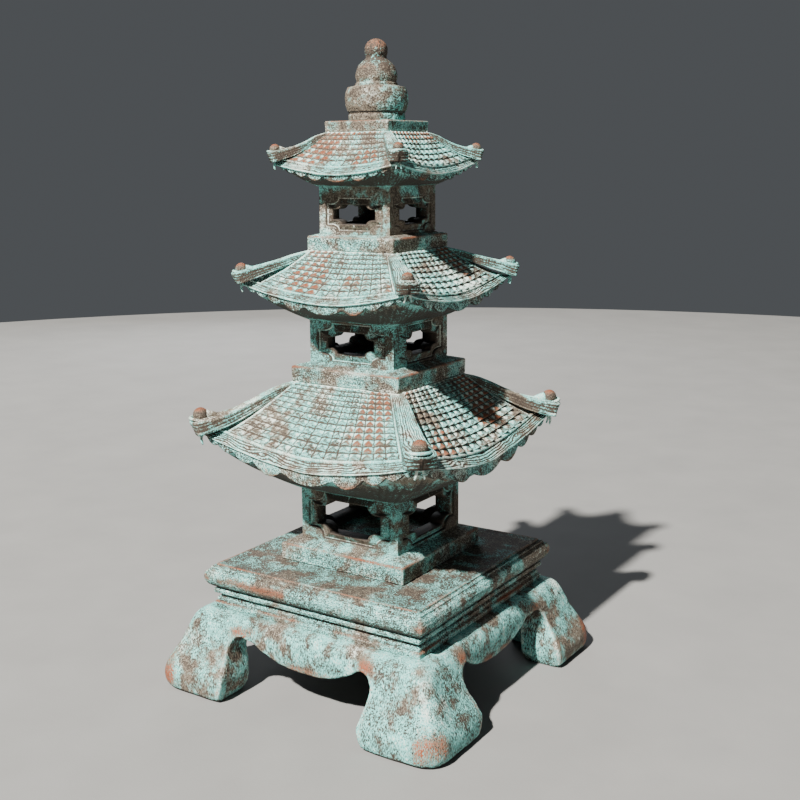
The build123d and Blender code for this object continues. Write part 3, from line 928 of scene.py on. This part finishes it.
def wall_rings(box, bed, head):
    """Rings from the outer face of one wall, over the recess and through the window, to the inner face."""
    steps, corner_steps = 10, 12
    face = rectangle_outline((2 * box.wall_half, head - bed - box.wall_foot), steps, corner_steps)
    inner_half = box.wall_half - box.wall
    inner = rectangle_outline((2 * inner_half, head - bed - box.wall_foot - 2), steps, corner_steps)
    panel = notched_outline(box.panel, box.panel_notch, steps, corner_steps)
    opening = notched_outline(box.opening, box.opening_notch, steps, corner_steps)
    middle = bed + (box.wall_foot + head - bed) / 2
    window = bed + box.window
    rings = []

    def ring(outline, depth, centre):
        rings.append(np.stack([outline[:, 0], np.full(len(outline), depth), outline[:, 1] + centre], -1))

    ring(face, 0, middle)
    ring(0.12 * face + 0.88 * grown(panel, 2), 0, window)
    ring(grown(panel, 1.2), 0, window)
    ring(grown(panel, 0.2), 0.9, window)
    ring(panel, 2.4, window)
    ring(panel, box.recess - 1, window)
    ring(grown(panel, -1), box.recess, window)
    ring(grown(panel, -3.5), box.recess, window)
    # The frame slopes up from the groove to the rim of the window
    for share in (0.0, 0.08, 0.35, 0.65, 0.92, 1.0):
        between = (1 - share) * grown(panel, -5) + share * grown(opening, 4)
        ring(between, (0.75 - share) * box.recess, window)
    ring(grown(opening, 1.5), -0.25 * box.recess, window)
    ring(grown(opening, 0.3), 0.8 - 0.25 * box.recess, window)
    ring(opening, 2.5, window)
    ring(opening, 12, window)
    ring(opening, box.wall, window)
    ring(inner, box.wall, bed + box.wall_foot + 2 + (head - bed - box.wall_foot - 2) / 2)
    return np.array(rings)


def build_box(box):
    node = f"{box.tier}_lantern_box"
    bed, head = low(node)[2], high(node)[2]
    edge = bed + box.step_edge
    foot = bed + box.wall_foot
    inner = box.wall_half - box.wall
    # The step, with a top that slopes up to the walls
    half = box.step_half
    profile = [(20, bed), (half - 1, bed), (half, edge), (box.wall_half - 12, foot + 2), (20, foot + 2)]
    step = square_shell(softened(profile, 5), 4, 44)
    walls = walls_shell(box, bed, head, inner)

    def worn(points):
        near, out = near_and_out(points)
        near_edge = close(points[:, 2], edge, 6) * close(out, half, 7)
        arris = close(near, half, 9)
        sill = bed + box.window - box.opening[1] / 2
        near_sill = close(points[:, 2], sill, 6) * (out < box.wall_half - 2)
        uneven = 0.75 + 0.6 * layered_noise(points / 60, bed, 2)
        return uneven * (0.8 * near_edge + 0.3 * arris + 0.2 * near_sill)

    body = f"{box.tier}_house"
    make_piece(f"{box.tier}_box_step", [step], "box_stone", body, [node], 1.6, worn, flecked=1.2)
    parts = [walls]
    for line in frame_ticks(box, bed):
        points, faces = tube_shell(line, (1.6, 1.6, 1.6), 8)
        parts += [(turned(points, quarter), faces) for quarter in range(4)]
    make_piece(f"{box.tier}_box_walls", parts, "box_stone", body, [node], 1.6, worn, flecked=0.65)


def frame_ticks(box, bed):
    """The short beads across the middle of each side of a window frame."""
    window = bed + box.window
    face = box.wall_half
    for side in (-1, 1):
        for edge, rim in ((box.panel[0], box.opening[0]), (box.panel[1], box.opening[1])):
            near, far = side * (edge / 2 - 4), side * (rim / 2 + 3)
            line = [(near, 0.7 * box.recess), ((near + far) / 2, 0.2 * box.recess), (far, -0.2 * box.recess)]
            if edge == box.panel[0]:
                yield [(x, depth - face, window) for x, depth in line]
            else:
                yield [(0, depth - face, window + z) for z, depth in line]


def walls_shell(box, bed, head, inner):
    """The four walls as one closed shell, welded at the corners."""
    side = wall_rings(box, bed, head)
    side[..., 1] -= box.wall_half
    rings, count, _ = side.shape
    quads = ring_quads(rings, count)
    points, faces = [], []
    for quarter in range(4):
        faces += (quads + quarter * rings * count).tolist()
        points.append(turned(side, quarter).reshape(-1, 3))
    start = 4 * rings * count
    foot = bed + box.wall_foot
    rim = []
    for z, half in ((head, box.wall_half), (head, inner), (foot, box.wall_half), (foot + 2, inner)):
        rim += [(-half, -half, z), (half, -half, z), (half, half, z), (-half, half, z)]
    points.append(np.array(rim))
    for first in (start, start + 8):
        for n in range(4):
            after = (n + 1) % 4
            faces.append([first + n, first + after, first + 4 + after, first + 4 + n])
    return np.concatenate(points), faces


# ---- plinth, cap slab and finial
PLINTH_PANEL = 362


def build_plinth():
    foot, top = low("plinth")[2], high("plinth")[2]
    profile = (
        (30, foot),
        (374, foot),
        (374, 262),
        (367, 266),
        (367, 275),
        (358, 281),
        (358, 289),
        (374, 292),
        (375, 304),
        (366, 308),
        (376, 313),
        (386, 321),
        (393, 334),
        (395, 350),
        (390, 364),
        (378, 370),
        (378, 376),
        (366.5, 377),
        (366.5, top),
        (30, top),
    )
    points, faces = square_shell(softened(profile, 2.5, 3), 5, 90)
    out = near_and_out(points)[1]
    panel = fade(out, PLINTH_PANEL, PLINTH_PANEL - 12) * (points[:, 2] > top - 2)
    trowelled = layered_noise(points * (1, 1, 0.2) / 28, 5.0, 3)
    points[:, 2] += (1.6 * trowelled - 0.8) * panel
    points[:, 2] += 0.8 * value_noise(points / 70, 2.0) * (points[:, 2] > foot + 1)

    def worn(spots):
        near, reach = near_and_out(spots)
        rim = close(spots[:, 2], top, 4) * close(reach, 366, 6)
        bead = close(spots[:, 2], 264, 5) * close(reach, 372, 8)
        roll = close(spots[:, 2], 345, 16) * (reach > 380)
        uneven = layered_noise(spots / 110, 2.0, 2)
        rubbed = (0.65 * fade(uneven, 0.1, 0.5) + 0.6 * fade(near, 350, 385)) * roll
        return (0.5 + 0.5 * uneven) * rim + (0.4 + 0.7 * uneven) * bead + rubbed

    shell = [(points, faces)]
    shade = -0.45 * (points[:, 2] > top - 2) * (out < PLINTH_PANEL)
    make_piece("plinth_block_moulded", shell, "plinth_stone", "plinth_block", ["plinth"], 2.0, worn, shade)


def build_cap_slab():
    foot, top = low("cap_slab")[2], high("cap_slab")[2]
    half = high("cap_slab")[0]
    profile = ((20, foot), (half - 1, foot), (half, top), (20, top))
    shell = square_shell(softened(profile, 4), 5, 30)

    def worn(points):
        return 0.7 * close(points[:, 2], top, 4) * close(near_and_out(points)[1], half, 5)

    make_piece("cap_slab_cast", [shell], "box_stone", "cap_block", ["cap_slab"], 1.6, worn, flecked=0.9)


def build_finial():
    foot, top = low("finial")[2], high("finial")[2]
    drum = [(82, 0), (83, 16), (80, 21), (85, 27)]
    belly = through(((85, 27), (90.5, 44), (92, 62), (90, 80), (84, 95)), np.linspace(0, 1, 26))
    neck = [(68, 98), (61, 101), (61, 107), (57, 109), (58, 113)]
    dome = through(((58, 113), (60.5, 122), (60, 134), (51, 157), (30, 176)), np.linspace(0, 1, 40))
    radius = 33.5
    centre = top - foot - radius
    start = -math.acos(30 / radius)
    angles = np.linspace(start, math.pi / 2 - 0.03, 50)
    ball = [(radius * math.cos(a), centre + radius * math.sin(a)) for a in angles]
    low_part = softened([(10, 0), *drum], 3, 3)
    rim = softened([belly[-2], belly[-1], *neck, dome[1]], 2.5, 3)
    line = [*low_part, *belly[1:-2], *rim, *dome[2:], *ball]
    profile = [(r, foot + z) for r, z in divided([np.array(p) for p in line], 2.5)]
    points, faces = turned_shell(profile, 150)
    push = 0.5 * layered_noise(points / 9, 1.0, 2)[:, None]
    outward = points * (1, 1, 0)
    outward /= np.maximum(np.linalg.norm(outward, axis=1), 1e-6)[:, None]
    points = points + push * outward * (points[:, 2:] > foot + 2)
    height = points[:, 2]
    tone = -0.7 * fade(height, top - 66, top - 58) - 0.5 * fade(height, foot + 108, foot + 150)

    def worn(spots):
        z = spots[:, 2]
        ball_top = fade(z, top - 50, top - 10)
        return 0.45 * ball_top + 0.35 * close(z, foot + 97, 7) + 0.3 * close(z, foot + 150, 12)

    shell = [(points, faces)]
    make_piece("finial_turned", shell, "finial_stone", "finial_block", ["finial"], 2.0, worn, tone)


# ---- leg base
BASE_VOXEL = 6.5


def build_leg_base():
    """The cast base: the CAD solid remeshed, so that its arrises melt as they do in a casting."""
    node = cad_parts["leg_base"]
    mesh = node.data.copy()
    rough = bpy.data.objects.new("leg_base_rough", mesh)
    bpy.context.collection.objects.link(rough)
    remesh = rough.modifiers.new("even_skin", "REMESH")
    remesh.mode = "VOXEL"
    remesh.voxel_size = BASE_VOXEL * MM
    smooth = rough.modifiers.new("melt", "SMOOTH")
    smooth.factor = 0.5
    smooth.iterations = 5
    skin = bpy.data.meshes.new_from_object(rough.evaluated_get(bpy.context.evaluated_depsgraph_get()))
    bpy.data.objects.remove(rough)
    points = vectors(skin.vertices, "co") / MM
    push = 1.3 * layered_noise(points / 45, 8.0, 2)
    points += push[:, None] * vectors(skin.vertex_normals, "vector")
    points[:, 2] = np.clip(points[:, 2], low("leg_base")[2], high("leg_base")[2] - 1)
    skin.vertices.foreach_set("co", (points * MM).ravel())
    skin.name = "leg_base_cast"
    skin.materials.clear()

    def worn(spots):
        near, out = near_and_out(spots)
        z = spots[:, 2]
        toe = fade(near, 400, 455) * fade(z, 125, 70) * fade(z, 4, 26)
        shin = fade(near, 420, 460) * fade(z, 175, 140) * fade(z, 20, 60) * (out > 470)
        crown = close(near, 228, 34) * close(z, 212, 20)
        jamb = close(near, 262, 9) * fade(z, 190, 120) * (out > 440)
        droop = close(near, 40, 70) * close(z, 138, 16)
        uneven = layered_noise(spots / 90, 6.0, 2)
        rubbed = 0.8 * toe + 0.5 * shin + 0.75 * crown + 0.4 * jamb + 0.65 * droop
        return rubbed * (0.85 + 0.7 * uneven)

    finish_piece(skin, "leg_base_cast", "base_stone", "base", ["leg_base"], 2.5, worn)


# ---- stage, light and camera
CAMERA_PLACE = Vector((1.928, -2.837, 1.592))
CAMERA_AIM = Vector((-0.5355, 0.8188, -0.2066))
CAMERA_ROLL = math.radians(0.46)
LENS = 51.4
SUN_FROM = Vector((-0.01, -0.71, 0.74))
FLOOR_REACH = 9
FLOOR_SIDES = 96


def build_stage():
    floor_mesh = bpy.data.meshes.new("floor")
    ring = [(FLOOR_REACH * math.cos(a), FLOOR_REACH * math.sin(a), 0) for a in circle_angles(FLOOR_SIDES)]
    floor_mesh.from_pydata(ring, [], [list(range(FLOOR_SIDES))])
    floor = bpy.data.objects.new("floor", floor_mesh)
    bpy.context.collection.objects.link(floor)
    s = Shader("pale_floor")
    tone = s.blend(s.noise(s.place(), 3.0), (0.21, 0.21, 0.205, 1), (0.27, 0.268, 0.26, 1))
    floor_mesh.materials.append(s.end(tone, 0.9, s.noise(s.place(), 120.0), 0.0004))

    world = bpy.data.worlds.new("studio")
    world.use_nodes = True
    background = world.node_tree.nodes["Background"]
    background.inputs["Color"].default_value = (0.80, 0.86, 0.92, 1)
    background.inputs["Strength"].default_value = 0.10
    bpy.context.scene.world = world

    for name, direction, distance, size, power, colour in (
        ("key", SUN_FROM, 40.0, 1.4, 62000, (1.0, 0.965, 0.91)),
        ("fill", Vector((0.9, -0.5, 0.5)), 6.0, 4.0, 8, (0.85, 0.92, 1.0)),
        ("back", Vector((-0.7, 0.75, 0.3)), 8.0, 4.0, 180, (0.90, 0.94, 1.0)),
    ):
        data = bpy.data.lights.new(name, "AREA")
        data.shape = "DISK"
        data.size = size
        data.energy = power
        data.color = colour
        light = bpy.data.objects.new(name, data)
        light.location = direction.normalized() * distance + Vector((0, 0, 0.8))
        light.rotation_euler = direction.to_track_quat("Z", "Y").to_euler()
        bpy.context.collection.objects.link(light)


def build_camera():
    data = bpy.data.cameras.new("camera")
    data.lens = LENS
    data.sensor_width = 36
    camera = bpy.data.objects.new("camera", data)
    turn = CAMERA_AIM.to_track_quat("-Z", "Y").to_matrix().to_4x4()
    camera.matrix_world = Matrix.Translation(CAMERA_PLACE) @ turn @ Matrix.Rotation(-CAMERA_ROLL, 4, "Z")
    bpy.context.collection.objects.link(camera)
    bpy.context.scene.camera = camera


# ---- the lantern
build_camera()
build_stage()
build_leg_base()
build_plinth()
for lantern_box in LANTERN_BOXES:
    build_box(lantern_box)
for tiled_roof in ROOFS:
    build_roof(tiled_roof)
build_cap_slab()
build_finial()
for node_name in ("lower_locating_pins", "middle_locating_pins", "upper_locating_pins", "finial_rod"):
    for pin_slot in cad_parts[node_name].material_slots:
        pin_slot.material = MATERIALS["pin_steel"]
